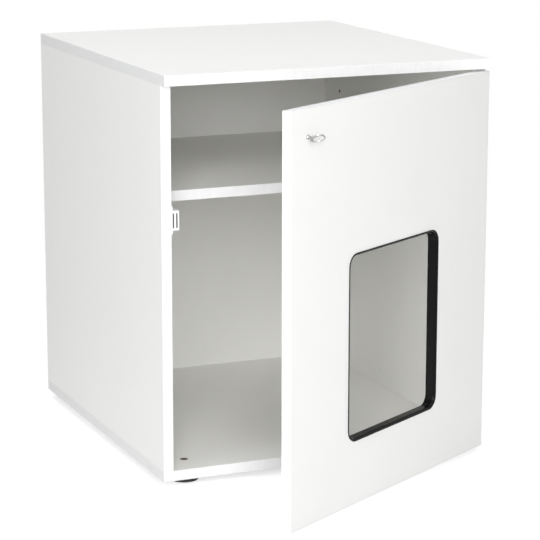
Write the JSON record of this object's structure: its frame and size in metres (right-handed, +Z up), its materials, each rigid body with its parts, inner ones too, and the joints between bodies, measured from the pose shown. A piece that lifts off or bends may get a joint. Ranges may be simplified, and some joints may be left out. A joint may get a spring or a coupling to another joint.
{
  "type": "cat litter box cabinet",
  "caption": "White board cabinet that hides a litter box: hinged door with a trimmed cat entry and ring pull, loose shelf, magnetic catch and screw feet.",
  "frame": {"origin": "middle of the bounding box's bottom, on the floor, with the door ajar as stored", "axes": "+Z up, -Y towards the door's side, +X towards the hinge side"},
  "size_m": [0.535, 0.8674, 0.633],
  "materials": {
    "board": "white melamine-faced chipboard",
    "hardboard": "white painted hardboard",
    "dowel_beech": "plain beech",
    "trim_black": "black, soft gloss",
    "pull_metal": "satin nickel plate",
    "hinge_steel": "nickel-plated pressed steel",
    "pin_steel": "plain steel",
    "screw_steel": "zinc-plated",
    "catch_white": "white, moulded",
    "pole_steel": "dark steel",
    "magnet": "sintered ferrite",
    "foot_black": "black, moulded",
    "support_steel": "nickel-plated"
  },
  "bodies": {
    "cabinet": {"top_panel": "board", "bottom_panel": "board", "left_side_panel": "board", "right_side_panel": "board", "back_panel": "hardboard", "wood_dowels": "dowel_beech", "hole_plug": "catch_white", "shelf_supports": "support_steel", "catch_housing": "catch_white", "catch_pole_plates": "pole_steel", "catch_magnet": "magnet", "catch_screws": "screw_steel", "hinge_arm_lower": "hinge_steel", "hinge_arm_pins_lower": "pin_steel", "hinge_mounting_plate_lower": "hinge_steel", "hinge_arm_upper": "hinge_steel", "hinge_arm_pins_upper": "pin_steel", "hinge_mounting_plate_upper": "hinge_steel", "hinge_arm_screws": "screw_steel", "hinge_plate_screws": "screw_steel", "foot_inserts": "foot_black"},
    "outer_links": {"hinge_outer_link_lower": "hinge_steel", "hinge_outer_link_upper": "hinge_steel"},
    "door": {"strike_plate": "hinge_steel", "strike_plate_screw": "screw_steel", "door_panel": "board", "entry_trim": "trim_black", "door_pull": "pull_metal", "door_pull_screw": "screw_steel", "hinge_cup_lower": "hinge_steel", "hinge_cup_pins_lower": "pin_steel", "hinge_cup_upper": "hinge_steel", "hinge_cup_pins_upper": "pin_steel", "hinge_cup_screws": "screw_steel"},
    "inner_links": {"hinge_inner_link_lower": "hinge_steel", "hinge_inner_link_upper": "hinge_steel"},
    "shelf": {"shelf": "board"},
    "foot_glide_front_left": {"foot_glide_front_left": "foot_black"},
    "foot_spindle_front_left": {"foot_spindle_front_left": "foot_black"},
    "foot_glide_front_right": {"foot_glide_front_right": "foot_black"},
    "foot_spindle_front_right": {"foot_spindle_front_right": "foot_black"},
    "foot_glide_rear_left": {"foot_glide_rear_left": "foot_black"},
    "foot_spindle_rear_left": {"foot_spindle_rear_left": "foot_black"},
    "foot_glide_rear_right": {"foot_glide_rear_right": "foot_black"},
    "foot_spindle_rear_right": {"foot_spindle_rear_right": "foot_black"}
  },
  "joints": [
    {"name": "door_swing", "type": "hinge", "parent": "outer_links", "child": "door", "pos_m": [0.2535, -0.14972, 0.31425], "axis": [0, 0, 1], "range_deg": [-42.03, 81.9]},
    {"name": "outer_link_swing", "type": "hinge", "parent": "cabinet", "child": "outer_links", "pos_m": [0.2363, -0.13849, 0.31425], "axis": [0, 0, 1], "range_deg": [-21.2, 10.93]},
    {"name": "inner_link_swing", "type": "hinge", "parent": "cabinet", "child": "inner_links", "pos_m": [0.2311, -0.13249, 0.31425], "axis": [0, 0, 1], "range_deg": [-24.97, 12.86]},
    {"name": "shelf_lift", "type": "slide", "parent": "cabinet", "child": "shelf", "axis": [0, 0, 1], "range_m": [0, 0.15]},
    {"name": "foot_front_left_slide", "type": "slide", "parent": "cabinet", "child": "foot_glide_front_left", "axis": [0, 0, -1], "range_m": [-0.0027, 0.008]},
    {"name": "foot_front_left_screw", "type": "hinge", "parent": "foot_glide_front_left", "child": "foot_spindle_front_left", "pos_m": [-0.215, -0.08659, 0.027], "axis": [0, 0, 1], "range_deg": [-2306, 779.6]},
    {"name": "foot_front_right_slide", "type": "slide", "parent": "cabinet", "child": "foot_glide_front_right", "axis": [0, 0, -1], "range_m": [-0.0027, 0.008]},
    {"name": "foot_front_right_screw", "type": "hinge", "parent": "foot_glide_front_right", "child": "foot_spindle_front_right", "pos_m": [0.215, -0.08659, 0.027], "axis": [0, 0, 1], "range_deg": [-2306, 779.6]},
    {"name": "foot_rear_left_slide", "type": "slide", "parent": "cabinet", "child": "foot_glide_rear_left", "axis": [0, 0, -1], "range_m": [-0.0027, 0.008]},
    {"name": "foot_rear_left_screw", "type": "hinge", "parent": "foot_glide_rear_left", "child": "foot_spindle_rear_left", "pos_m": [-0.215, 0.38241, 0.027], "axis": [0, 0, 1], "range_deg": [-2306, 779.6]},
    {"name": "foot_rear_right_slide", "type": "slide", "parent": "cabinet", "child": "foot_glide_rear_right", "axis": [0, 0, -1], "range_m": [-0.0027, 0.008]},
    {"name": "foot_rear_right_screw", "type": "hinge", "parent": "foot_glide_rear_right", "child": "foot_spindle_rear_right", "pos_m": [0.215, 0.38241, 0.027], "axis": [0, 0, 1], "range_deg": [-2306, 779.6]}
  ],
  "couplings": [
    {"joint": "outer_link_swing", "follows": "door_swing", "ratio": -0.25761},
    {"joint": "inner_link_swing", "follows": "door_swing", "ratio": -0.30364},
    {"joint": "foot_front_left_screw", "follows": "foot_front_left_slide", "rad_per_m": -5026.5},
    {"joint": "foot_front_right_screw", "follows": "foot_front_right_slide", "rad_per_m": -5026.5},
    {"joint": "foot_rear_left_screw", "follows": "foot_rear_left_slide", "rad_per_m": -5026.5},
    {"joint": "foot_rear_right_screw", "follows": "foot_rear_right_slide", "rad_per_m": -5026.5}
  ]
}
